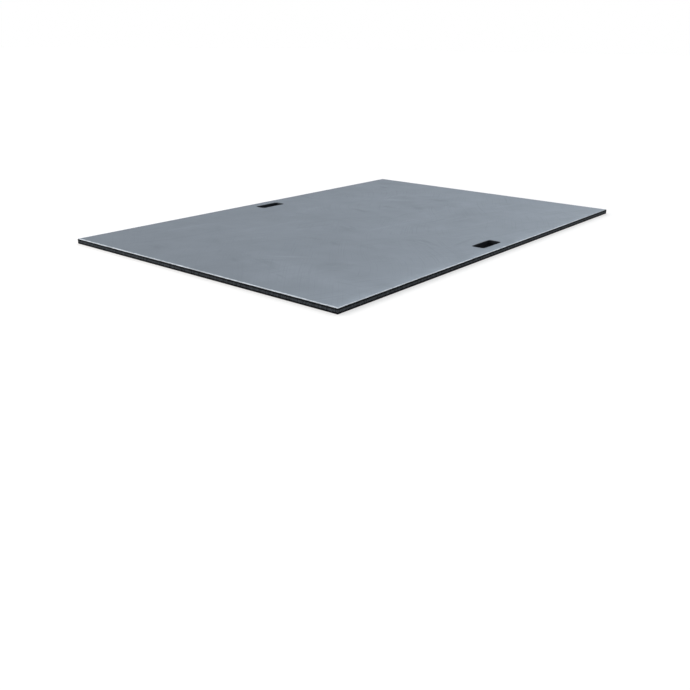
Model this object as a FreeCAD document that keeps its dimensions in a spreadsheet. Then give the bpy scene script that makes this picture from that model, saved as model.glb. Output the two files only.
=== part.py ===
import FreeCAD, Part
import Sketcher
import math
import os

# Ground protection mat: one flat board of black recycled polyethylene, sawn square to
# size, with a hand slot routed through it at the middle of each long edge. It is a single
# solid. Frame: origin at the centre of the underside, +X along the mat, +Z up.

# Driving dimensions: name, millimetres, what it measures
DIMENSIONS = [
    ("mat_length", 1800.0, "length of the board"),
    ("mat_width", 1200.0, "width of the board"),
    ("mat_thickness", 18.0, "thickness of the board"),
    ("mat_corner_radius", 3.0, "upright corners of the board, seen from above"),
    ("arris_radius", 2.0, "rounding of the board's upper and lower edges"),
    ("slot_length", 125.0, "hand slot, along the mat"),
    ("slot_width", 50.0, "hand slot, across the mat"),
    ("slot_edge_gap", 45.0, "board left between a long edge and its hand slot"),
    ("slot_corner_radius", 10.0, "corners of the hand slot, seen from above"),
    ("slot_rim_radius", 2.0, "rounding of the hand slot's upper and lower rims"),
]

doc = FreeCAD.newDocument("ground_protection_mat")
sizes = doc.addObject("Spreadsheet::Sheet", "sizes")
for row, (alias, value, meaning) in enumerate(DIMENSIONS, start=1):
    sizes.set("A%d" % row, alias)
    sizes.set("B%d" % row, str(value))
    sizes.set("C%d" % row, meaning)
    sizes.setAlias("B%d" % row, alias)
doc.recompute()

# Ends of a sketch's lines and arcs, and the sketch's own origin
START, END = 1, 2
ORIGIN = (-1, 1)

# Two places closer than this are the same place, in millimetres
SAME_PLACE = 0.001


def origin_plane(body, role):
    """One of the body's own origin planes."""
    for feature in body.Origin.OriginFeatures:
        if feature.Role == role:
            return feature
    raise RuntimeError("The body has no " + role)


def ground_sketch(body, name):
    """A sketch on the plane of the mat's underside."""
    sketch = body.newObject("Sketcher::SketchObject", name)
    sketch.AttachmentSupport = [(origin_plane(body, "XY_Plane"), "")]
    sketch.MapMode = "FlatFace"
    return sketch


def dimension(sketch, name, expression, kind, *ends):
    """A named dimension of the sketch that follows the sheet."""
    value = sketch.evalExpression(expression)
    index = sketch.addConstraint(Sketcher.Constraint(kind, *ends, value))
    sketch.renameConstraint(index, name)
    sketch.setExpression("Constraints." + name, expression)


def rounded_rectangle(sketch, length, width, radius, outer_side):
    """Four sides and four tangent arcs, centred on the Y axis, all given as expressions.

    outer_side is how far the side that is furthest along +Y lies from the origin."""
    half = sketch.evalExpression(length) / 2
    top = sketch.evalExpression(outer_side)
    bottom = top - sketch.evalExpression(width)
    turn = sketch.evalExpression(radius)
    sides = [
        ((-half + turn, bottom), (half - turn, bottom)),
        ((half, bottom + turn), (half, top - turn)),
        ((half - turn, top), (-half + turn, top)),
        ((-half, top - turn), (-half, bottom + turn)),
    ]
    corners = [
        (half - turn, bottom + turn),
        (half - turn, top - turn),
        (-half + turn, top - turn),
        (-half + turn, bottom + turn),
    ]
    lines = []
    for first, last in sides:
        segment = Part.LineSegment(FreeCAD.Vector(*first, 0), FreeCAD.Vector(*last, 0))
        lines.append(sketch.addGeometry(segment))
    arcs = []
    for quarter, corner in enumerate(corners):
        circle = Part.Circle(FreeCAD.Vector(*corner, 0), FreeCAD.Vector(0, 0, 1), turn)
        first_angle = (quarter - 1) * math.pi / 2
        arcs.append(sketch.addGeometry(Part.ArcOfCircle(circle, first_angle, first_angle + math.pi / 2)))

    for side, corner, next_side in zip(lines, arcs, lines[1:] + lines[:1]):
        sketch.addConstraint(Sketcher.Constraint("Tangent", side, END, corner, START))
        sketch.addConstraint(Sketcher.Constraint("Tangent", corner, END, next_side, START))
    bottom_side, right_side, top_side, left_side = lines
    sketch.addConstraint(Sketcher.Constraint("Horizontal", bottom_side))
    sketch.addConstraint(Sketcher.Constraint("Vertical", right_side))
    sketch.addConstraint(Sketcher.Constraint("Horizontal", top_side))
    sketch.addConstraint(Sketcher.Constraint("Vertical", left_side))
    for corner in arcs[1:]:
        sketch.addConstraint(Sketcher.Constraint("Equal", arcs[0], corner))

    dimension(sketch, "corner_radius", radius, "Radius", arcs[0])
    dimension(sketch, "overall_length", length, "DistanceX", left_side, END, right_side, START)
    dimension(sketch, "overall_width", width, "DistanceY", bottom_side, END, top_side, START)
    dimension(sketch, "half_length", length + " / 2", "DistanceX", *ORIGIN, right_side, START)
    dimension(sketch, "outer_side", outer_side, "DistanceY", *ORIGIN, top_side, START)


def level_edges(shape, on_outline):
    """Names of the edges that lie level, either round the outline or round the hand slots."""
    whole = shape.BoundBox
    names = []
    for number, edge in enumerate(shape.Edges, start=1):
        box = edge.BoundBox
        if box.ZLength > SAME_PLACE:
            continue
        reaches_outline = (
            box.XMin < whole.XMin + SAME_PLACE
            or box.XMax > whole.XMax - SAME_PLACE
            or box.YMin < whole.YMin + SAME_PLACE
            or box.YMax > whole.YMax - SAME_PLACE
        )
        if reaches_outline == on_outline:
            names.append("Edge%d" % number)
    return names


def eased(body, name, base, on_outline, radius):
    """Rounds off the level edges of the base, above and below."""
    doc.recompute()
    fillet = body.newObject("PartDesign::Fillet", name)
    fillet.Base = (base, level_edges(base.Shape, on_outline))
    fillet.setExpression("Radius", radius)
    body.Tip = fillet
    return fillet


mat = doc.addObject("PartDesign::Body", "mat")
mat.Label = "mat"

# The board, sawn square, with its four upright corners just broken
outline = ground_sketch(mat, "outline")
rounded_rectangle(
    outline,
    length="sizes.mat_length",
    width="sizes.mat_width",
    radius="sizes.mat_corner_radius",
    outer_side="sizes.mat_width / 2",
)
board = mat.newObject("PartDesign::Pad", "board")
board.Profile = outline
board.setExpression("Length", "sizes.mat_thickness")

# The hand slot at the middle of one long edge, its corners as round as the router bit leaves them
slot_outline = ground_sketch(mat, "slot_outline")
rounded_rectangle(
    slot_outline,
    length="sizes.slot_length",
    width="sizes.slot_width",
    radius="sizes.slot_corner_radius",
    outer_side="sizes.mat_width / 2 - sizes.slot_edge_gap",
)
hand_slot = mat.newObject("PartDesign::Pocket", "hand_slot")
hand_slot.Profile = slot_outline
hand_slot.Type = "ThroughAll"
hand_slot.Reversed = True

# The same slot at the other long edge
opposite_slot = mat.newObject("PartDesign::Mirrored", "opposite_slot")
opposite_slot.Originals = [hand_slot]
opposite_slot.MirrorPlane = (origin_plane(mat, "XZ_Plane"), [""])
mat.Tip = opposite_slot

# Every arris eased, so that the mat drags and stacks without catching and the slots suit a hand
eased_outline = eased(mat, "eased_outline", opposite_slot, True, "sizes.arris_radius")
eased_slots = eased(mat, "eased_slots", eased_outline, False, "sizes.slot_rim_radius")
mat.Placement = FreeCAD.Placement()
doc.recompute()

for item in doc.Objects:
    if "Invalid" in item.State or "Error" in item.State:
        raise RuntimeError("%s failed: %s" % (item.Name, item.State))
if not board.Shape.Volume > hand_slot.Shape.Volume > opposite_slot.Shape.Volume > 0:
    raise RuntimeError("A hand slot cuts nothing")
if mat.Shape.isNull() or not mat.Shape.isValid() or len(mat.Shape.Solids) != 1:
    raise RuntimeError("The mat is not one sound solid")

os.makedirs("parts", exist_ok=True)
mat.Shape.exportStep("parts/%s.step" % mat.Label)
print("mat: volume %.6f m3" % (mat.Shape.Volume / 1e9))
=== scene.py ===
import bpy
import math
import mathutils
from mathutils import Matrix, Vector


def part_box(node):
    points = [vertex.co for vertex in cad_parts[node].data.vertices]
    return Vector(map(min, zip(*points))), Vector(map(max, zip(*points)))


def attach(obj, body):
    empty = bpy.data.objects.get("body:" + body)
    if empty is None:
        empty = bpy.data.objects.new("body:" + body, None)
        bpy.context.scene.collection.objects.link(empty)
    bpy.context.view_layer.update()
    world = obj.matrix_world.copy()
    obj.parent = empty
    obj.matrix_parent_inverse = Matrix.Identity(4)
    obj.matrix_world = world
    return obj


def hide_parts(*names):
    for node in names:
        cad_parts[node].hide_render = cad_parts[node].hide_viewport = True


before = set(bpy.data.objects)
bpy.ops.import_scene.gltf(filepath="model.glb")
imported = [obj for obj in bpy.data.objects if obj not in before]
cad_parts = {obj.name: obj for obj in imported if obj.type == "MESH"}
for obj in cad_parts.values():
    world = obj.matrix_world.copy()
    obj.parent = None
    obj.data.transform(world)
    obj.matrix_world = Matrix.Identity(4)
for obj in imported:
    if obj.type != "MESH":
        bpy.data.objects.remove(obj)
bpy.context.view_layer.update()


# The mat
# One board of black recycled polyethylene, pressed flat between satin plates and then sawn square,
# with a hand slot routed through it near each long edge. It lies on the ground, fixed to nothing.

mat_low, mat_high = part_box("mat")
mat_length = mat_high[0] - mat_low[0]
mat_width = mat_high[1] - mat_low[1]
mat_thickness = mat_high[2] - mat_low[2]
mat_corner_radius = 0.003
arris_radius = 0.002
slot_length = 0.125
slot_width = 0.050
slot_edge_gap = 0.045
slot_corner_radius = 0.010
slot_rim_radius = 0.002
# How far the saw's marks bow along a side on their way up it
saw_bow = 0.004


def add(tree, kind, inputs=(), **settings):
    """Adds a node. inputs maps a socket's name or number to its value or to the socket that feeds it."""
    made = tree.nodes.new(kind)
    for name, value in settings.items():
        setattr(made, name, value)
    for key, value in dict(inputs).items():
        if isinstance(value, bpy.types.NodeSocket):
            tree.links.new(value, made.inputs[key])
        else:
            made.inputs[key].default_value = value
    return made


def maths(tree, operation, *terms):
    """One sum of up to three terms, each a number or a socket."""
    return add(tree, "ShaderNodeMath", enumerate(terms), operation=operation).outputs[0]


def vector_maths(tree, operation, *terms):
    """The same with vectors. A length, a distance and a dot product come out as a number."""
    gives = "Value" if operation in ("LENGTH", "DISTANCE", "DOT_PRODUCT") else "Vector"
    return add(tree, "ShaderNodeVectorMath", enumerate(terms), operation=operation).outputs[gives]


def parts_of(tree, vector):
    """The X, Y and Z of a vector."""
    return add(tree, "ShaderNodeSeparateXYZ", {0: vector}).outputs


def vector_of(tree, **parts):
    """The vector that has these parts. Any that isn't given is 0."""
    return add(tree, "ShaderNodeCombineXYZ", parts).outputs[0]


def span(tree, value, low, high, to_low=0.0, to_high=1.0, smooth=False):
    """The value brought from one range to another, and held within it."""
    return add(
        tree,
        "ShaderNodeMapRange",
        {"Value": value, "From Min": low, "From Max": high, "To Min": to_low, "To Max": to_high},
        interpolation_type="SMOOTHSTEP" if smooth else "LINEAR",
    ).outputs["Result"]


def noise(tree, vector, scale, detail, roughness=0.5, distortion=0.0, seed=None):
    """A noise about 0.5, with so many waves to one unit of the vector. A seed picks one of many."""
    made = add(
        tree,
        "ShaderNodeTexNoise",
        {
            "Vector": vector,
            "Scale": scale,
            "Detail": detail,
            "Roughness": roughness,
            "Distortion": distortion,
        },
    )
    if seed is not None:
        made.noise_dimensions = "4D"
        tree.links.new(seed, made.inputs["W"])
    return made.outputs["Fac"]


def start_tree(name, kind, inputs, outputs):
    """A node tree, its inputs' sockets and its outputs' sockets. inputs maps a name to (kind, value)."""
    tree = bpy.data.node_groups.new(name, kind)
    for socket_name, (socket_kind, value) in inputs.items():
        made = tree.interface.new_socket(socket_name, in_out="INPUT", socket_type="NodeSocket" + socket_kind)
        if value is not None:
            made.default_value = value
    for socket_name, socket_kind in outputs.items():
        tree.interface.new_socket(socket_name, in_out="OUTPUT", socket_type="NodeSocket" + socket_kind)
    return tree, add(tree, "NodeGroupInput").outputs, add(tree, "NodeGroupOutput").inputs


def use(tree, part, inputs):
    """Puts one tree into another of its kind, and gives its outputs."""
    kind = tree.bl_idname.replace("NodeTree", "NodeGroup")
    return add(tree, kind, inputs, node_tree=part).outputs


def join(tree, pieces):
    """The pieces as one."""
    made = add(tree, "GeometryNodeJoinGeometry")
    for piece in pieces:
        tree.links.new(piece, made.inputs["Geometry"])
    return made.outputs["Geometry"]


# A line whose long stretches are divided evenly and whose bends keep their own points
even_steps, given, wanted = start_tree(
    "even_steps",
    "GeometryNodeTree",
    {"Curve": ("Geometry", None), "Step": ("Float", 0.002)},
    {"Curve": "Geometry"},
)
here = add(even_steps, "GeometryNodeInputPosition").outputs["Position"]
following = add(even_steps, "GeometryNodeOffsetPointInCurve", {"Offset": 1}).outputs["Point Index"]
there = add(
    even_steps, "GeometryNodeFieldAtIndex", {"Value": here, "Index": following}, data_type="FLOAT_VECTOR"
).outputs["Value"]
gap = vector_maths(even_steps, "DISTANCE", here, there)
cuts = maths(even_steps, "FLOOR", maths(even_steps, "DIVIDE", gap, given["Step"]))
divided = add(even_steps, "GeometryNodeSubdivideCurve", {"Curve": given["Curve"], "Cuts": cuts})
even_steps.links.new(divided.outputs["Curve"], wanted["Curve"])


def round_off(tree, curve, radius, corner_points, step):
    """The curve with its corners rounded and its long stretches divided."""
    turned = add(
        tree,
        "GeometryNodeFilletCurve",
        {"Curve": curve, "Count": corner_points, "Radius": radius, "Limit Radius": False},
        mode="POLY",
    )
    return use(tree, even_steps, {"Curve": turned.outputs["Curve"], "Step": step})["Curve"]


# The loop that the saw follows round the board, or the router bit round a slot
rounded_loop, given, wanted = start_tree(
    "rounded_loop",
    "GeometryNodeTree",
    {
        "Length": ("Float", 1.0),
        "Width": ("Float", 1.0),
        "Corner Radius": ("Float", 0.01),
        "Corner Points": ("Int", 6),
        "Step": ("Float", 0.002),
    },
    {"Curve": "Geometry"},
)
square = add(
    rounded_loop,
    "GeometryNodeCurvePrimitiveQuadrilateral",
    {"Width": given["Length"], "Height": given["Width"]},
).outputs["Curve"]
loop = round_off(rounded_loop, square, given["Corner Radius"], given["Corner Points"], given["Step"])
rounded_loop.links.new(loop, wanted["Curve"])


# The side that is cut along such a loop, from a narrow strip of the upper face, over the upper
# arris, down the side and round to a strip of the lower face. Its attribute "arris" is 0 on the
# flats and the side, and rises to 1 along the middle of each arris.
cut_side, given, wanted = start_tree(
    "cut_side",
    "GeometryNodeTree",
    {
        "Loop": ("Geometry", None),
        "Thickness": ("Float", 0.018),
        "Arris Radius": ("Float", 0.002),
        "Arris Points": ("Int", 5),
        "Strip": ("Float", 0.0006),
        "Step": ("Float", 0.0015),
    },
    {"Mesh": "Geometry"},
)
reach = maths(cut_side, "ADD", given["Arris Radius"], given["Strip"])
half_reach = maths(cut_side, "MULTIPLY", reach, 0.5)
square = add(
    cut_side,
    "GeometryNodeCurvePrimitiveQuadrilateral",
    {"Width": reach, "Height": given["Thickness"]},
).outputs["Curve"]
opened = add(
    cut_side, "GeometryNodeSetSplineCyclic", {"Geometry": square, "Cyclic": False}
).outputs["Geometry"]
turned = round_off(cut_side, opened, given["Arris Radius"], given["Arris Points"], given["Step"])
place = parts_of(cut_side, add(cut_side, "GeometryNodeInputPosition").outputs["Position"])
in_from_side = maths(cut_side, "ADD", place["X"], half_reach)
past_strip = maths(cut_side, "SUBTRACT", given["Arris Radius"], in_from_side)
half_thickness = maths(cut_side, "MULTIPLY", given["Thickness"], 0.5)
half_side = maths(cut_side, "SUBTRACT", half_thickness, given["Arris Radius"])
past_side = maths(cut_side, "SUBTRACT", maths(cut_side, "ABSOLUTE", place["Y"]), half_side)
at_middle = maths(cut_side, "MULTIPLY", given["Arris Radius"], math.sqrt(0.5))
marked = add(
    cut_side,
    "GeometryNodeStoreNamedAttribute",
    {
        "Geometry": turned,
        "Name": "arris",
        "Value": span(cut_side, maths(cut_side, "MINIMUM", past_strip, past_side), 0.0, at_middle),
    },
)
profile = add(
    cut_side,
    "GeometryNodeTransform",
    {
        "Geometry": marked.outputs["Geometry"],
        "Translation": vector_of(cut_side, X=maths(cut_side, "MULTIPLY", half_reach, -1.0)),
        "Rotation": (0.0, 0.0, math.pi),
    },
)
level = add(cut_side, "GeometryNodeSetCurveNormal", {"Curve": given["Loop"]}, mode="Z_UP")
swept = add(
    cut_side,
    "GeometryNodeCurveToMesh",
    {"Curve": level.outputs["Curve"], "Profile Curve": profile.outputs["Geometry"]},
)
cut_side.links.new(swept.outputs["Mesh"], wanted["Mesh"])


# The marks of a blade on such a side, all pressed inwards: the slow wander of the cut, the ripple
# that each pass of the teeth leaves, and small chips along the arrises
blade_marks, given, wanted = start_tree(
    "blade_marks",
    "GeometryNodeTree",
    {
        "Mesh": ("Geometry", None),
        "Wander": ("Float", 0.0003),
        "Wander Waves": ("Float", 5.0),
        "Ripple": ("Float", 0.0001),
        "Ripple Spacing": ("Float", 0.004),
        "Ripple Waves Up": ("Float", 20.0),
        "Bow": ("Float", saw_bow),
        "Chip Depth": ("Float", 0.0008),
        "Chip Spacing": ("Float", 0.02),
        "Seed": ("Float", 0.0),
    },
    {"Mesh": "Geometry"},
)


def along_the_cut(tree, place, bow):
    """How far along a side a mark began. The teeth swing up through the board on an arc, so it bows."""
    swing = maths(tree, "POWER", maths(tree, "MULTIPLY", place["Z"], 1.0 / mat_thickness), 2.0)
    return maths(tree, "MULTIPLY_ADD", swing, bow, maths(tree, "ADD", place["X"], place["Y"]))


def pressed_by(tree, direction, depth):
    """The way that a point goes when it is pressed in against a direction."""
    inputs = {0: direction, "Scale": maths(tree, "MULTIPLY", depth, -1.0)}
    return add(tree, "ShaderNodeVectorMath", inputs, operation="SCALE").outputs["Vector"]


# The parts of a noise's range that most of it and nearly all of it lie in, and the crests that
# become chips
most_waves = (0.35, 0.65)
nearly_all_waves = (0.3, 0.7)
chip_crests = (0.58, 0.72)
here = add(blade_marks, "GeometryNodeInputPosition").outputs["Position"]
place = parts_of(blade_marks, here)
arris = add(blade_marks, "GeometryNodeInputNamedAttribute", {"Name": "arris"}).outputs["Attribute"]
outward = add(blade_marks, "GeometryNodeInputNormal").outputs["Normal"]
sideways = vector_maths(blade_marks, "MULTIPLY", outward, (1.0, 1.0, 0.0))
wander_wave = noise(blade_marks, here, given["Wander Waves"], 2.0, seed=given["Seed"])
ripple_place = vector_of(
    blade_marks,
    X=maths(blade_marks, "DIVIDE", along_the_cut(blade_marks, place, given["Bow"]), given["Ripple Spacing"]),
    Y=maths(blade_marks, "MULTIPLY", place["Z"], given["Ripple Waves Up"]),
)
ripple_wave = noise(blade_marks, ripple_place, 1.0, 1.0, seed=given["Seed"])
chip_waves = maths(blade_marks, "DIVIDE", 1.0, given["Chip Spacing"])
chip_wave = noise(blade_marks, here, chip_waves, 2.0, seed=given["Seed"])
wandered = maths(blade_marks, "MULTIPLY", given["Wander"], span(blade_marks, wander_wave, *most_waves))
cut_in = maths(
    blade_marks, "MULTIPLY_ADD", given["Ripple"], span(blade_marks, ripple_wave, *most_waves), wandered
)
chipped = maths(
    blade_marks,
    "MULTIPLY",
    maths(blade_marks, "MULTIPLY", given["Chip Depth"], arris),
    span(blade_marks, chip_wave, *chip_crests, smooth=True),
)
pressed = pressed_by(blade_marks, sideways, cut_in)
offset = vector_maths(blade_marks, "ADD", pressed, pressed_by(blade_marks, outward, chipped))
moved = add(blade_marks, "GeometryNodeSetPosition", {"Geometry": given["Mesh"], "Offset": offset})
blade_marks.links.new(moved.outputs["Geometry"], wanted["Mesh"])


# The whole board: its sawn sides, its two slots, and the two broad faces that close it
sawn_board, given, wanted = start_tree(
    "sawn_board",
    "GeometryNodeTree",
    {
        "Length": ("Float", 1.0),
        "Width": ("Float", 1.0),
        "Thickness": ("Float", 0.01),
        "Corner Radius": ("Float", 0.003),
        "Arris Radius": ("Float", 0.002),
        "Slot Length": ("Float", 0.1),
        "Slot Width": ("Float", 0.05),
        "Slot Edge Gap": ("Float", 0.05),
        "Slot Corner Radius": ("Float", 0.01),
        "Slot Rim Radius": ("Float", 0.002),
        "Step": ("Float", 0.0022),
        "Merge Distance": ("Float", 0.00001),
        "Seed": ("Float", 0.0),
        "Pressed Finish": ("Material", None),
        "Sawn Finish": ("Material", None),
        "Routed Finish": ("Material", None),
    },
    {"Geometry": "Geometry"},
)
half_thickness = maths(sawn_board, "MULTIPLY", given["Thickness"], 0.5)
half_up = vector_of(sawn_board, Z=half_thickness)
outline = use(
    sawn_board,
    rounded_loop,
    {
        "Length": given["Length"],
        "Width": given["Width"],
        "Corner Radius": given["Corner Radius"],
        "Step": given["Step"],
    },
)["Curve"]
sawn_sides = use(
    sawn_board,
    cut_side,
    {"Loop": outline, "Thickness": given["Thickness"], "Arris Radius": given["Arris Radius"]},
)["Mesh"]
slot_outline = use(
    sawn_board,
    rounded_loop,
    {
        "Length": given["Slot Length"],
        "Width": given["Slot Width"],
        "Corner Radius": given["Slot Corner Radius"],
        "Step": given["Step"],
    },
)["Curve"]
other_way_round = add(sawn_board, "GeometryNodeReverseCurve", {"Curve": slot_outline}).outputs["Curve"]
slot_sides = use(
    sawn_board,
    cut_side,
    {"Loop": other_way_round, "Thickness": given["Thickness"], "Arris Radius": given["Slot Rim Radius"]},
)["Mesh"]
half_width = maths(sawn_board, "MULTIPLY", given["Width"], 0.5)
half_slot = maths(sawn_board, "MULTIPLY", given["Slot Width"], 0.5)
slot_place = maths(
    sawn_board, "SUBTRACT", maths(sawn_board, "SUBTRACT", half_width, given["Slot Edge Gap"]), half_slot
)
two_slots = []
for side in (1.0, -1.0):
    to_its_side = vector_of(sawn_board, Y=maths(sawn_board, "MULTIPLY", slot_place, side))
    one_slot = add(sawn_board, "GeometryNodeTransform", {"Geometry": slot_sides, "Translation": to_its_side})
    two_slots.append(one_slot.outputs["Geometry"])
slots = join(sawn_board, two_slots)

# The router bit leaves a finer ripple than the saw, no wander, and smaller chips
router_marks = {"Wander": 0.0, "Ripple": 0.00006, "Ripple Spacing": 0.003, "Chip Depth": 0.0004}
raised = []
for sides, marks in ((sawn_sides, {}), (slots, router_marks)):
    lifted = add(sawn_board, "GeometryNodeTransform", {"Geometry": sides, "Translation": half_up})
    inputs = {"Mesh": lifted.outputs["Geometry"], "Seed": given["Seed"], **marks}
    raised.append(use(sawn_board, blade_marks, inputs)["Mesh"])
routed = add(
    sawn_board,
    "GeometryNodeStoreNamedAttribute",
    {"Geometry": raised[1], "Name": "routed", "Value": True},
    data_type="BOOLEAN",
    domain="FACE",
)
all_sides = join(sawn_board, (raised[0], routed.outputs["Geometry"]))

# Each broad face fills in what lies between the open edges of the strips
faces_at_edge = add(sawn_board, "GeometryNodeInputMeshEdgeNeighbors").outputs["Face Count"]
open_edge = add(
    sawn_board, "FunctionNodeCompare", {2: faces_at_edge, 3: 1}, data_type="INT", operation="EQUAL"
).outputs["Result"]
height = parts_of(sawn_board, add(sawn_board, "GeometryNodeInputPosition").outputs["Position"])["Z"]
to_join = [all_sides]
for comparison, lift, turned_over in (("GREATER_THAN", given["Thickness"], False), ("LESS_THAN", 0.0, True)):
    this_side = add(
        sawn_board, "FunctionNodeCompare", {0: height, 1: half_thickness}, operation=comparison
    ).outputs["Result"]
    edges = add(
        sawn_board, "FunctionNodeBooleanMath", {0: open_edge, 1: this_side}, operation="AND"
    ).outputs["Boolean"]
    rims = add(sawn_board, "GeometryNodeMeshToCurve", {"Mesh": all_sides, "Selection": edges})
    face = add(sawn_board, "GeometryNodeFillCurve", {"Curve": rims.outputs["Curve"]}, mode="TRIANGLES")
    placed = add(
        sawn_board,
        "GeometryNodeTransform",
        {"Geometry": face.outputs["Mesh"], "Translation": vector_of(sawn_board, Z=lift)},
    ).outputs["Geometry"]
    if turned_over:
        placed = add(sawn_board, "GeometryNodeFlipFaces", {"Mesh": placed}).outputs["Mesh"]
    flat = add(sawn_board, "GeometryNodeSetShadeSmooth", {"Geometry": placed, "Shade Smooth": False})
    to_join.append(flat.outputs["Geometry"])
closed = join(sawn_board, to_join)
whole = add(
    sawn_board, "GeometryNodeMergeByDistance", {"Geometry": closed, "Distance": given["Merge Distance"]}
)
real = add(sawn_board, "GeometryNodeRealizeInstances", {"Geometry": whole.outputs["Geometry"]})

# The finishes: sawn all round, routed in the slots, and pressed wherever the board is still flat
level_enough = 0.999
upward = parts_of(sawn_board, add(sawn_board, "GeometryNodeInputNormal").outputs["Normal"])["Z"]
still_flat = add(
    sawn_board,
    "FunctionNodeCompare",
    {0: maths(sawn_board, "ABSOLUTE", upward), 1: level_enough},
    operation="GREATER_THAN",
).outputs["Result"]
in_slot = add(
    sawn_board, "GeometryNodeInputNamedAttribute", {"Name": "routed"}, data_type="BOOLEAN"
).outputs["Attribute"]
finished = add(
    sawn_board,
    "GeometryNodeSetMaterial",
    {"Geometry": real.outputs["Geometry"], "Material": given["Sawn Finish"]},
)
for selection, finish in ((in_slot, "Routed Finish"), (still_flat, "Pressed Finish")):
    finished = add(
        sawn_board,
        "GeometryNodeSetMaterial",
        {"Geometry": finished.outputs["Geometry"], "Selection": selection, "Material": given[finish]},
    )
sawn_board.links.new(finished.outputs["Geometry"], wanted["Geometry"])


def blend_colour(tree, share, first, second):
    """The first colour, with a share of the second in its place."""
    return add(tree, "ShaderNodeMix", {0: share, 6: first, 7: second}, data_type="RGBA").outputs[2]


def lay_over(tree, colour, *layers):
    """The colour with others laid over it in turn. Each layer is (share, colour)."""
    for share, layer in layers:
        colour = blend_colour(tree, share, colour, layer)
    return colour


def start_finish(name, **plain):
    """A material, its tree, its shader and its object coordinates. plain holds what is the same all over."""
    finish = bpy.data.materials.new(name)
    finish.use_nodes = True
    tree = finish.node_tree
    shader = tree.nodes["Principled BSDF"]
    for socket_name, value in plain.items():
        shader.inputs[socket_name.replace("_", " ")].default_value = value
    return finish, tree, shader.inputs, add(tree, "ShaderNodeTexCoord").outputs["Object"]


def end_finish(tree, surface, colour, roughness, relief, depth):
    """Feeds the shader with its colour, its roughness, and a relief that is about so many metres deep."""
    bump = add(tree, "ShaderNodeBump", {"Height": relief, "Distance": depth, "Strength": 1.0})
    tree.links.new(colour, surface["Base Color"])
    tree.links.new(roughness, surface["Roughness"])
    tree.links.new(bump.outputs["Normal"], surface["Normal"])


# What reground plastic shows wherever it is cut or pressed: slow clouds where the melt flowed, and a
# few flecks of other plastic that didn't melt in
regrind, given, wanted = start_tree(
    "regrind",
    "ShaderNodeTree",
    {
        "Vector": ("Vector", None),
        "Cloud Size": ("Float", 0.2),
        "Fleck Size": ("Float", 0.004),
        "Fleck Share": ("Float", 0.05),
        "Fleck Core": ("Float", 0.18),
        "Fleck Edge": ("Float", 0.32),
    },
    {"Clouds": "Float", "Flecks": "Float"},
)
cloud_waves = maths(regrind, "DIVIDE", 1.0, given["Cloud Size"])
clouds = noise(regrind, given["Vector"], cloud_waves, 4.0, roughness=0.55, distortion=0.7)
fleck_cells = maths(regrind, "DIVIDE", 1.0, given["Fleck Size"])
cells = add(regrind, "ShaderNodeTexVoronoi", {"Vector": given["Vector"], "Scale": fleck_cells}).outputs
drawn_lot = add(regrind, "ShaderNodeSeparateColor", {0: cells["Color"]}).outputs[0]
chosen = maths(regrind, "LESS_THAN", drawn_lot, given["Fleck Share"])
in_fleck = span(
    regrind, cells["Distance"], given["Fleck Core"], given["Fleck Edge"], 1.0, 0.0, smooth=True
)
regrind.links.new(span(regrind, clouds, *nearly_all_waves), wanted["Clouds"])
regrind.links.new(maths(regrind, "MULTIPLY", chosen, in_fleck), wanted["Flecks"])


def turned_by(tree, vector, angle):
    """The vector turned about the upright."""
    inputs = {"Vector": vector, "Angle": angle}
    return add(tree, "ShaderNodeVectorRotate", inputs, rotation_type="Z_AXIS").outputs[0]


# Long thin marks that run one way, in patches, where the board is dragged. Turn is their heading,
# and only the crests of a drawn-out noise are marks.
scuffs, given, wanted = start_tree(
    "scuffs",
    "ShaderNodeTree",
    {
        "Vector": ("Vector", None),
        "Turn": ("Float", 0.0),
        "Length": ("Float", 0.3),
        "Spacing": ("Float", 0.02),
        "Share": ("Float", 0.1),
        "Patch Waves": ("Float", 4.0),
        "Patch Edge": ("Float", 0.08),
    },
    {"Marks": "Float"},
)
streak_crests = (0.56, 0.7)
turned = turned_by(scuffs, given["Vector"], given["Turn"])
waves_along = maths(scuffs, "DIVIDE", 1.0, given["Length"])
waves_across = maths(scuffs, "DIVIDE", 1.0, given["Spacing"])
drawn_out = vector_maths(
    scuffs, "MULTIPLY", turned, vector_of(scuffs, X=waves_along, Y=waves_across, Z=waves_across)
)
streaks = span(scuffs, noise(scuffs, drawn_out, 1.0, 3.0), *streak_crests)
patches = noise(scuffs, turned, given["Patch Waves"], 1.0)
threshold = maths(scuffs, "SUBTRACT", 0.65, maths(scuffs, "MULTIPLY", given["Share"], 0.5))
above_it = maths(scuffs, "SUBTRACT", patches, threshold)
rubbed = span(scuffs, above_it, 0.0, given["Patch Edge"], smooth=True)
scuffs.links.new(maths(scuffs, "MULTIPLY", streaks, rubbed), wanted["Marks"])


# Wear along every arris, near white, which is partly wear and partly a painted highlight. It goes by the
# distance from the nearest line where a side, or a slot's wall, would meet a broad face if nothing were
# rounded, and breaks up as it fades. It reaches further over the faces than down the sides, and is heaviest
# at the two sides that meet in one corner, where the wear and the painted highlight are brightest.
arris_wear_and_highlight, given, wanted = start_tree(
    "arris_wear_and_highlight",
    "ShaderNodeTree",
    {
        "Vector": ("Vector", None),
        "Reach": ("Float", 0.009),
        "Full Share": ("Float", 0.2),
        "Side Share": ("Float", 0.72),
        "Slot Share": ("Float", 0.26),
        "Down Share": ("Float", 0.15),
        "Raggedness": ("Float", 1.4),
        "Score Share": ("Float", 0.6),
        "Score Heading": ("Float", 0.7),
        "Least Patch": ("Float", 0.65),
        "Far Wear": ("Float", 0.35),
    },
    {"Wear And Highlight": "Float"},
)


def hypotenuse(tree, first, second):
    """The root of the sum of two squares."""
    squares = [maths(tree, "POWER", side, 2.0) for side in (first, second)]
    return maths(tree, "SQRT", maths(tree, "ADD", *squares))


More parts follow.
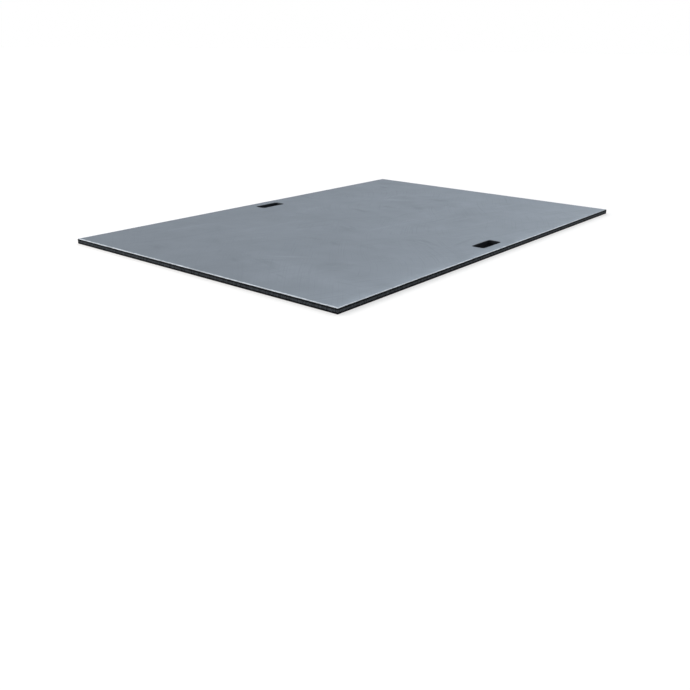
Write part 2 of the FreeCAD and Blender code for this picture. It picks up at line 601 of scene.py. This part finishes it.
place = parts_of(arris_wear_and_highlight, vector_maths(arris_wear_and_highlight, "ABSOLUTE", given["Vector"]))
in_from_end = maths(arris_wear_and_highlight, "SUBTRACT", mat_length / 2, place["X"])
in_from_side = maths(arris_wear_and_highlight, "SUBTRACT", mat_width / 2, place["Y"])
slot_middle = mat_width / 2 - slot_edge_gap - slot_width / 2
from_slot_middle = maths(arris_wear_and_highlight, "ABSOLUTE", maths(arris_wear_and_highlight, "SUBTRACT", place["Y"], slot_middle))
past_length = maths(arris_wear_and_highlight, "SUBTRACT", place["X"], slot_length / 2 - slot_corner_radius)
past_width = maths(arris_wear_and_highlight, "SUBTRACT", from_slot_middle, slot_width / 2 - slot_corner_radius)
outside_corner = hypotenuse(
    arris_wear_and_highlight,
    maths(arris_wear_and_highlight, "MAXIMUM", past_length, 0.0),
    maths(arris_wear_and_highlight, "MAXIMUM", past_width, 0.0),
)
inside_slot = maths(arris_wear_and_highlight, "MINIMUM", maths(arris_wear_and_highlight, "MAXIMUM", past_length, past_width), 0.0)
past_slot = maths(
    arris_wear_and_highlight, "SUBTRACT", maths(arris_wear_and_highlight, "ADD", outside_corner, inside_slot), slot_corner_radius
)
from_side = maths(arris_wear_and_highlight, "DIVIDE", in_from_side, given["Side Share"])
from_slot = maths(arris_wear_and_highlight, "DIVIDE", maths(arris_wear_and_highlight, "ABSOLUTE", past_slot), given["Slot Share"])
from_cut = maths(arris_wear_and_highlight, "MINIMUM", maths(arris_wear_and_highlight, "MINIMUM", in_from_end, from_side), from_slot)
from_face = maths(arris_wear_and_highlight, "MINIMUM", place["Z"], maths(arris_wear_and_highlight, "SUBTRACT", mat_thickness, place["Z"]))
from_face = maths(arris_wear_and_highlight, "DIVIDE", from_face, given["Down Share"])
from_arris = hypotenuse(arris_wear_and_highlight, from_cut, from_face)
# Its edge is broken up by a fine noise and by scores that run aslant
score_waves = (90.0, 420.0, 420.0)
broken = noise(arris_wear_and_highlight, given["Vector"], 70.0, 7.0, roughness=0.75)
aslant = turned_by(arris_wear_and_highlight, given["Vector"], given["Score Heading"])
scored = noise(arris_wear_and_highlight, vector_maths(arris_wear_and_highlight, "MULTIPLY", aslant, score_waves), 1.0, 4.0)
both = maths(arris_wear_and_highlight, "MULTIPLY_ADD", scored, given["Score Share"], broken)
even = maths(arris_wear_and_highlight, "MULTIPLY_ADD", given["Score Share"], 0.5, 0.5)
uneven = maths(arris_wear_and_highlight, "MULTIPLY", maths(arris_wear_and_highlight, "SUBTRACT", both, even), given["Raggedness"])
ragged = maths(arris_wear_and_highlight, "MULTIPLY_ADD", uneven, given["Reach"], from_arris)
full_to = maths(arris_wear_and_highlight, "MULTIPLY", given["Reach"], given["Full Share"])
wear_and_highlight = span(arris_wear_and_highlight, ragged, full_to, given["Reach"], 1.0, 0.0)
# It is patchy, and fades away from that corner
wear_and_highlight_corner = (-0.8, -0.8, 0.0)
fade_range = (-0.25, 0.15)
patchy = noise(arris_wear_and_highlight, given["Vector"], 9.0, 3.0)
in_patch = span(arris_wear_and_highlight, patchy, 0.35, 0.55, given["Least Patch"], 1.0)
toward_corner = vector_maths(arris_wear_and_highlight, "DOT_PRODUCT", given["Vector"], wear_and_highlight_corner)
near_corner = span(arris_wear_and_highlight, toward_corner, *fade_range, given["Far Wear"], 1.0)
wear_and_highlight = maths(arris_wear_and_highlight, "MULTIPLY", maths(arris_wear_and_highlight, "MULTIPLY", wear_and_highlight, in_patch), near_corner)
arris_wear_and_highlight.links.new(wear_and_highlight, wanted["Wear And Highlight"])


# One rub or smudge on a broad face: an oval patch with ragged edges, or a ring where it is hollow
rub, given, wanted = start_tree(
    "rub",
    "ShaderNodeTree",
    {
        "Vector": ("Vector", None),
        "Place": ("Vector", (0.0, 0.0, 0.0)),
        "Turn": ("Float", 0.0),
        "Length": ("Float", 0.1),
        "Width": ("Float", 0.1),
        "Hollow": ("Float", 0.0),
        "Raggedness": ("Float", 1.4),
    },
    {"Mark": "Float"},
)
moved = vector_maths(rub, "SUBTRACT", given["Vector"], given["Place"])
turned = turned_by(rub, moved, maths(rub, "MULTIPLY", given["Turn"], -1.0))
half_size = vector_of(
    rub, X=maths(rub, "MULTIPLY", given["Length"], 0.5), Y=maths(rub, "MULTIPLY", given["Width"], 0.5), Z=1.0
)
evened = vector_maths(rub, "DIVIDE", turned, half_size)
torn = maths(rub, "SUBTRACT", noise(rub, evened, 1.6, 4.0, roughness=0.6), 0.5)
from_middle = maths(rub, "MULTIPLY_ADD", torn, given["Raggedness"], vector_maths(rub, "LENGTH", evened))
from_ring = maths(rub, "ABSOLUTE", maths(rub, "SUBTRACT", from_middle, given["Hollow"]))
rub.links.new(span(rub, from_ring, 0.1, 0.8, 1.0, 0.0, smooth=True), wanted["Mark"])


# The pressed faces: satin, with the faint clouds of the melt and the plates' own fine grain. What has slid
# over them has polished them a little towards one long side, where some dust has settled too, and has left
# smudges, rings, streaks and hairlines. The grey that grows towards that side is partly dust and partly
# painted sheen.
black = (0.045, 0.046, 0.048, 1.0)
clouded = (0.055, 0.057, 0.060, 1.0)
# Dust, and in part painted sheen: the paler grey that grows towards one long side
dust_and_sheen_grey = (0.089, 0.092, 0.096, 1.0)
fleck_grey = (0.13, 0.135, 0.14, 1.0)
rubbed_grey = (0.118, 0.121, 0.125, 1.0)
# Painted sheen: a pale grey laid along one long side of the faces
sheen_grey = (0.160, 0.166, 0.172, 1.0)
# Worn arrises, near white, which are partly wear and partly painted highlight
worn_and_highlight_grey = (0.76, 0.73, 0.70, 1.0)
satin_roughness = 0.48
grain_depth = 0.00003
# How far in from the long side each band of painted sheen reaches, how strong it starts, how much of the wide
# one there is at each end of the mat, and how ragged the edge of the near one is
wide_sheen_reach = 0.3
wide_sheen_share = 0.3
edge_sheen_reach = 0.04
edge_sheen_share = 0.45
sheen_at_ends = (1.3, 0.1)
sheen_raggedness = 0.012
# How many waves to a metre the dust's drifts, the mottling, the peel and the grain have
drift_waves = 2.4
mottle_waves = 13.0
peel_waves = 160.0
grain_waves = 1400.0
# The way that dust and a painted sheen increase, and how far the hairlines bend
dust_and_sheen_way = (0.2, -0.75, 0.0)
hairline_bend = (0.35, 0.35, 0.0)
# The scuffs along the board and those across it
scuffs_along = {"Turn": 0.12, "Length": 0.35, "Spacing": 0.03, "Share": 0.25}
scuffs_across = {"Turn": 1.9, "Length": 0.2, "Spacing": 0.04, "Share": 0.1}
# Each lot of hairlines: its heading, and how long, how far apart and how strong its lines are
hairline_lots = (
    (0.35, 0.5, 0.004, 1.0),
    (1.3, 0.2, 0.006, 0.6),
    (2.5, 0.35, 0.0045, 0.8),
)
# Each rub: where its middle is, how it is turned, its length, width and hollow, and how much paler
# (above 0) or duller (below 0) than the rest it is
rubs = (
    ((0.50, 0.07), 0.9, 0.26, 0.22, 0.8, -0.4),
    ((0.59, 0.05), 1.7, 0.17, 0.09, 0.0, -1.3),
    ((0.31, 0.12), 1.3, 0.12, 0.07, 0.0, -1.0),
    ((0.38, 0.02), 0.9, 0.17, 0.08, 0.0, -1.0),
    ((0.47, 0.20), 1.9, 0.22, 0.11, 0.0, 1.1),
    ((0.48, -0.06), 0.2, 0.14, 0.05, 0.0, 0.9),
    ((0.66, 0.16), 2.2, 0.16, 0.05, 0.0, 0.6),
    ((-0.34, -0.03), 1.3, 0.10, 0.06, 0.0, -0.7),
    ((-0.35, -0.13), 1.0, 0.12, 0.06, 0.0, -1.0),
    ((-0.13, 0.03), 1.0, 0.18, 0.08, 0.0, 0.7),
    ((-0.58, -0.32), 2.3, 0.13, 0.07, 0.6, -0.7),
    ((-0.62, -0.35), 2.3, 0.12, 0.03, 0.0, -0.6),
    ((-0.59, -0.13), 2.15, 0.26, 0.03, 0.0, 1.0),
    ((-0.66, -0.11), 2.15, 0.20, 0.03, 0.0, -0.7),
    ((-0.60, 0.20), 0.9, 0.14, 0.06, 0.0, -0.5),
    ((-0.45, 0.36), 0.7, 0.16, 0.07, 0.0, -0.4),
    ((0.02, 0.36), 0.8, 0.30, 0.12, 0.0, 0.5),
    ((-0.02, -0.455), 0.04, 0.28, 0.035, 0.0, -1.0),
    ((-0.68, -0.24), 1.2, 0.80, 0.52, 0.0, 1.0),
    ((0.35, -0.22), 0.2, 0.70, 0.24, 0.0, -0.8),
    ((0.82, 0.50), 1.4, 0.40, 0.26, 0.0, -0.8),
)

pressed_finish, tree, surface, spot = start_finish("pressed_polyethylene", IOR=1.5)
place = parts_of(tree, spot)
melt = use(tree, regrind, {"Vector": spot})
wear_and_highlight = use(tree, arris_wear_and_highlight, {"Vector": spot})["Wear And Highlight"]
along = use(tree, scuffs, {"Vector": spot, **scuffs_along})["Marks"]
across = use(tree, scuffs, {"Vector": spot, **scuffs_across})["Marks"]
# Hairlines left by grit: each lot of them runs its own way, and bends as the board swung round
bend = add(tree, "ShaderNodeTexNoise", {"Vector": spot, "Scale": 1.3, "Detail": 1.0}).outputs["Color"]
swung = vector_maths(tree, "MULTIPLY_ADD", bend, hairline_bend, spot)
hairlines = 0.0
for turn, length, spacing, strength in hairline_lots:
    lot = {"Vector": swung, "Turn": turn, "Length": length, "Spacing": spacing, "Share": 0.45}
    scratched = maths(tree, "MULTIPLY", use(tree, scuffs, lot)["Marks"], strength)
    hairlines = maths(tree, "MAXIMUM", scratched, hairlines)
# Dust lies in drifts, and towards one long side there is more of it, together with a painted sheen
toward_side = vector_maths(tree, "DOT_PRODUCT", spot, dust_and_sheen_way)
drift = noise(tree, spot, drift_waves, 3.0)
dust_and_sheen = span(tree, maths(tree, "MULTIPLY_ADD", drift, 0.8, toward_side), 0.0, 1.2)
mottle = span(tree, noise(tree, spot, mottle_waves, 4.0), *nearly_all_waves, -1.0, 1.0)
# A painted sheen lightens the face towards that side, more at one end, and most of all just inside its arris
in_from_side = maths(tree, "ADD", place["Y"], mat_width / 2)
by_length = span(tree, place["X"], -mat_length / 2, mat_length / 2, *sheen_at_ends)
wide_sheen = span(tree, in_from_side, 0.0, wide_sheen_reach, wide_sheen_share, 0.0, smooth=True)
ragged_in = maths(tree, "MULTIPLY_ADD", mottle, sheen_raggedness, in_from_side)
edge_sheen = span(tree, ragged_in, 0.0, edge_sheen_reach, edge_sheen_share, 0.0, smooth=True)
painted_sheen = maths(tree, "ADD", maths(tree, "MULTIPLY", wide_sheen, by_length), edge_sheen)
# The rubs are on the upper face alone
rubbing = 0.0
for (middle_x, middle_y), turn, length, width, hollow, strength in rubs:
    patch = {
        "Vector": spot,
        "Place": (middle_x, middle_y, mat_thickness),
        "Turn": turn,
        "Length": length,
        "Width": width,
        "Hollow": hollow,
    }
    rubbing = maths(tree, "MULTIPLY_ADD", use(tree, rub, patch)["Mark"], strength, rubbing)
upper = maths(tree, "GREATER_THAN", place["Z"], mat_thickness / 2)
rubbing = maths(tree, "MULTIPLY", rubbing, upper)
colour = lay_over(
    tree,
    black,
    (melt["Clouds"], clouded),
    (maths(tree, "MULTIPLY", melt["Flecks"], 0.5), fleck_grey),
    (dust_and_sheen, dust_and_sheen_grey),
    (painted_sheen, sheen_grey),
    (maths(tree, "MULTIPLY", along, 0.25), rubbed_grey),
    (maths(tree, "MULTIPLY", hairlines, 0.4), rubbed_grey),
    (wear_and_highlight, worn_and_highlight_grey),
)
roughness = satin_roughness
for mark, rougher in (
    (melt["Clouds"], 0.03),
    (hairlines, 0.12),
    (dust_and_sheen, -0.08),
    (mottle, 0.015),
    (across, 0.06),
    (rubbing, -0.05),
    (wear_and_highlight, 0.1),
):
    roughness = maths(tree, "MULTIPLY_ADD", mark, rougher, roughness)
peel = noise(tree, spot, peel_waves, 2.0)
grain = noise(tree, spot, grain_waves, 2.0)
relief = maths(tree, "MULTIPLY_ADD", across, -0.6, maths(tree, "MULTIPLY_ADD", grain, 0.15, peel))
end_finish(tree, surface, colour, roughness, relief, grain_depth)


# The sawn sides: rougher than the faces, with the bowed lines of the teeth. Along the middle they are fuzzy
# and grey, and next to the arrises a painted shade makes them nearly black. The arrises are rubbed nearly
# white, which is partly a painted highlight.
# Painted shade: the near black next to both arrises of each side
arris_shade_black = (0.003, 0.0032, 0.0035, 1.0)
sawn_black = (0.026, 0.028, 0.030, 1.0)
sawn_grey = (0.150, 0.157, 0.164, 1.0)
sawn_roughness = (0.6, 0.8)
saw_mark_depth = 0.0004
# How many waves the teeth's marks have to a metre of side, and up it
tooth_waves = 700.0
tooth_waves_up = 60.0
# How far from the side's middle the grey is whole, where it ends in the painted shade, and how far the teeth
# draw it out
grey_whole = 0.04 * mat_thickness
grey_end = 0.28 * mat_thickness
drawn_by_teeth = 0.5 * mat_thickness
# Where the plastic is cut through it shows finer and more flecks
cut_flecks = {"Fleck Size": 0.0025, "Fleck Share": 0.12}

sawn_finish, tree, surface, spot = start_finish("sawn_polyethylene", IOR=1.5, Specular_IOR_Level=0.05)
place = parts_of(tree, spot)
flecks = use(tree, regrind, {"Vector": spot, **cut_flecks})["Flecks"]
wear_and_highlight = use(tree, arris_wear_and_highlight, {"Vector": spot})["Wear And Highlight"]
tooth_place = vector_of(
    tree,
    X=maths(tree, "MULTIPLY", along_the_cut(tree, place, saw_bow), tooth_waves),
    Y=maths(tree, "MULTIPLY", place["Z"], tooth_waves_up),
)
teeth = noise(tree, tooth_place, 1.0, 3.0, roughness=0.6)
torn = noise(tree, spot, 900.0, 3.0, roughness=0.7)
torn_share = span(tree, torn, *nearly_all_waves, 0.5, 1.0)
fuzz = maths(tree, "MULTIPLY", span(tree, teeth, *nearly_all_waves), torn_share)
from_middle = maths(tree, "ABSOLUTE", maths(tree, "SUBTRACT", place["Z"], mat_thickness / 2))
reached = maths(tree, "MULTIPLY_ADD", maths(tree, "SUBTRACT", teeth, 0.5), -drawn_by_teeth, from_middle)
# The grey middle band; outside it lies the painted shade by the arrises
middle = span(tree, reached, grey_whole, grey_end, 1.0, 0.0, smooth=True)
colour = lay_over(
    tree,
    arris_shade_black,
    (middle, blend_colour(tree, fuzz, sawn_black, sawn_grey)),
    (maths(tree, "MULTIPLY", flecks, 0.4), fleck_grey),
    (wear_and_highlight, worn_and_highlight_grey),
)
roughness = span(tree, fuzz, 0.0, 1.0, *sawn_roughness)
end_finish(tree, surface, colour, roughness, maths(tree, "MULTIPLY_ADD", torn, 0.2, teeth), saw_mark_depth)


# The slot walls: routed, so they are smoother than the sawn sides, ringed by each pass of the bit
# Painted shade: both colours are darker than the plastic's own black, so that the slots read as deep
shaded_routed_black = (0.012, 0.013, 0.014, 1.0)
shaded_routed_grey = (0.026, 0.027, 0.029, 1.0)
routed_roughness = (0.42, 0.58)
router_mark_depth = 0.0001
# How many waves the rings of the bit have to a metre along the wall, across it and up it
ring_waves = (25.0, 25.0, 900.0)

routed_finish, tree, surface, spot = start_finish("routed_polyethylene", IOR=1.5, Specular_IOR_Level=0.25)
flecks = use(tree, regrind, {"Vector": spot, **cut_flecks})["Flecks"]
wear_and_highlight = use(tree, arris_wear_and_highlight, {"Vector": spot})["Wear And Highlight"]
passes = noise(tree, vector_maths(tree, "MULTIPLY", spot, ring_waves), 1.0, 2.0)
# The rim of each slot is pale from wear, and partly from painted highlight
colour = lay_over(
    tree,
    shaded_routed_black,
    (span(tree, passes, *most_waves), shaded_routed_grey),
    (maths(tree, "MULTIPLY", flecks, 0.3), fleck_grey),
    (maths(tree, "MULTIPLY", wear_and_highlight, 0.3), worn_and_highlight_grey),
)
roughness = span(tree, passes, *nearly_all_waves, *routed_roughness)
end_finish(tree, surface, colour, roughness, passes, router_mark_depth)


mat = bpy.data.objects.new("board", bpy.data.meshes.new("board"))
bpy.context.scene.collection.objects.link(mat)
making = mat.modifiers.new("sawn_board", "NODES")
making.node_group = sawn_board
for socket_name, value in {
    "Length": mat_length,
    "Width": mat_width,
    "Thickness": mat_thickness,
    "Corner Radius": mat_corner_radius,
    "Arris Radius": arris_radius,
    "Slot Length": slot_length,
    "Slot Width": slot_width,
    "Slot Edge Gap": slot_edge_gap,
    "Slot Corner Radius": slot_corner_radius,
    "Slot Rim Radius": slot_rim_radius,
    "Seed": 4.0,
    "Pressed Finish": pressed_finish,
    "Sawn Finish": sawn_finish,
    "Routed Finish": routed_finish,
}.items():
    making[sawn_board.interface.items_tree[socket_name].identifier] = value
drawn = mat.evaluated_get(bpy.context.evaluated_depsgraph_get())
mesh = bpy.data.meshes.new_from_object(drawn)
mat.modifiers.clear()
mat.data = mesh
mesh.name = "board"
mesh.materials.pop(index=0)
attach(mat, "root")
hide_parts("mat")


# The floor
# A plain pale floor that the mat lies on. Away from the mat it is lifted until it is seen as white,
# and it keeps the mat's shadow. Under the mat it is painted dark, a painted shade, so that the slots read as
# deep.

floor_reach = 60.0
dark_inset = 0.01
pale_ground = (0.50, 0.446, 0.396, 1.0)
# Painted shade: the ground under the mat, dark up to dark_inset inside its sides
painted_shade_ground = (0.02, 0.02, 0.02, 1.0)
# How much the floor is lifted near the mat and far from it, and between which distances that changes
near_lift = 0.54
far_lift = 0.8
lift_range = (1.5, 5.0)

floor_mesh = bpy.data.meshes.new("floor")
floor_corners = [(x * floor_reach, y * floor_reach, 0.0) for x, y in ((-1, -1), (1, -1), (1, 1), (-1, 1))]
floor_mesh.from_pydata(floor_corners, [], [(0, 1, 2, 3)])
floor = bpy.data.objects.new("floor", floor_mesh)
bpy.context.scene.collection.objects.link(floor)
floor_finish = bpy.data.materials.new("pale_floor")
floor_finish.use_nodes = True
tree = floor_finish.node_tree
tree.nodes.clear()
spot = add(tree, "ShaderNodeTexCoord").outputs["Object"]
place = parts_of(tree, spot)
beyond_end = maths(tree, "GREATER_THAN", maths(tree, "ABSOLUTE", place["X"]), mat_length / 2 - dark_inset)
beyond_side = maths(tree, "GREATER_THAN", maths(tree, "ABSOLUTE", place["Y"]), mat_width / 2 - dark_inset)
beyond = maths(tree, "MAXIMUM", beyond_end, beyond_side)
seen = add(tree, "ShaderNodeLightPath").outputs
seen_or_in_gloss = maths(tree, "MAXIMUM", seen["Is Camera Ray"], seen["Is Glossy Ray"])
seen_at_all = maths(tree, "MAXIMUM", seen_or_in_gloss, seen["Is Transmission Ray"])
seen_white = maths(tree, "MULTIPLY", seen_at_all, beyond)
away = vector_maths(tree, "LENGTH", spot)
lift = maths(tree, "MULTIPLY", seen_white, span(tree, away, *lift_range, near_lift, far_lift, smooth=True))
plain = add(tree, "ShaderNodeBsdfDiffuse", {"Color": blend_colour(tree, beyond, painted_shade_ground, pale_ground)})
lifted = add(tree, "ShaderNodeEmission", {"Strength": lift})
both = add(tree, "ShaderNodeAddShader", {0: plain.outputs[0], 1: lifted.outputs[0]})
add(tree, "ShaderNodeOutputMaterial", {"Surface": both.outputs[0]})
floor_mesh.materials.append(floor_finish)


# The light
# Large soft boxes hang behind the mat, a third to half of the way up. Low down the room is dim, and
# the white backdrop round the horizon lights nothing: it is only seen, straight on or in a gloss.

room_colour = (0.768, 0.876, 1.0, 1.0)
boxes_lie = (0.62, 0.78, 0.0)
boxes_up = 0.55
box_light = 3.6
low_light = 0.25
overhead_light = 0.5
front_share = 0.2

world = bpy.data.worlds.new("studio")
world.use_nodes = True
tree = world.node_tree
tree.nodes.clear()
direction = add(tree, "ShaderNodeTexCoord").outputs["Generated"]
up = parts_of(tree, direction)["Z"]
behind = vector_maths(tree, "DOT_PRODUCT", direction, boxes_lie)
from_below = span(tree, up, 0.1, boxes_up, low_light, box_light, smooth=True)
from_above = span(tree, up, boxes_up, 1.0, box_light, overhead_light)
by_height = maths(tree, "MINIMUM", from_below, from_above)
light_level = maths(tree, "MULTIPLY", span(tree, behind, -0.7, 0.9, front_share, 1.0, smooth=True), by_height)
room = add(tree, "ShaderNodeBackground", {"Color": room_colour, "Strength": light_level})
backdrop = add(tree, "ShaderNodeBackground", {"Color": (1.0, 1.0, 1.0, 1.0), "Strength": 1.0})
seen = add(tree, "ShaderNodeLightPath").outputs
in_gloss = maths(tree, "MULTIPLY", seen["Is Glossy Ray"], span(tree, up, 0.02, 0.06, 1.0, 0.0))
seen_or_through = maths(tree, "MAXIMUM", seen["Is Camera Ray"], seen["Is Transmission Ray"])
shows_backdrop = maths(tree, "MAXIMUM", seen_or_through, in_gloss)
choice = add(tree, "ShaderNodeMixShader", {0: shows_backdrop, 1: room.outputs[0], 2: backdrop.outputs[0]})
add(tree, "ShaderNodeOutputWorld", {"Surface": choice.outputs[0]})
bpy.context.scene.world = world

for name, place, aim, wide, watts, colour in (
    ("key_light", (-2.0, 3.0, 2.45), (-0.3, 0.0, 0.0), 1.6, 45.0, (1.0, 1.0, 1.0)),
    ("back_light", (5.5, 0.0, 2.4), (0.2, -0.2, 0.0), 3.0, 10.0, (0.95, 0.98, 1.0)),
):
    lamp = bpy.data.objects.new(name, bpy.data.lights.new(name, "AREA"))
    lamp.data.size = wide
    lamp.data.energy = watts
    lamp.data.color = colour
    lamp.location = place
    toward_aim = mathutils.Vector(aim) - mathutils.Vector(place)
    lamp.rotation_euler = toward_aim.to_track_quat("-Z", "Y").to_euler()
    bpy.context.scene.collection.objects.link(lamp)


# The camera
# It stands low, off one corner of the mat, and looks across its middle. Its place, lens and tilt are
# those at which the mat's four sides lie as in the photograph.

camera = bpy.data.objects.new("camera", bpy.data.cameras.new("camera"))
bpy.context.scene.collection.objects.link(camera)
camera.data.sensor_width = 36.0
camera.data.lens = 41.393
camera.location = (-2.4338, -1.8744, 0.6742)
camera.rotation_euler = [math.radians(angle) for angle in (69.150, -0.573, -50.636)]
bpy.context.scene.camera = camera
bpy.context.scene.view_settings.view_transform = "Standard"
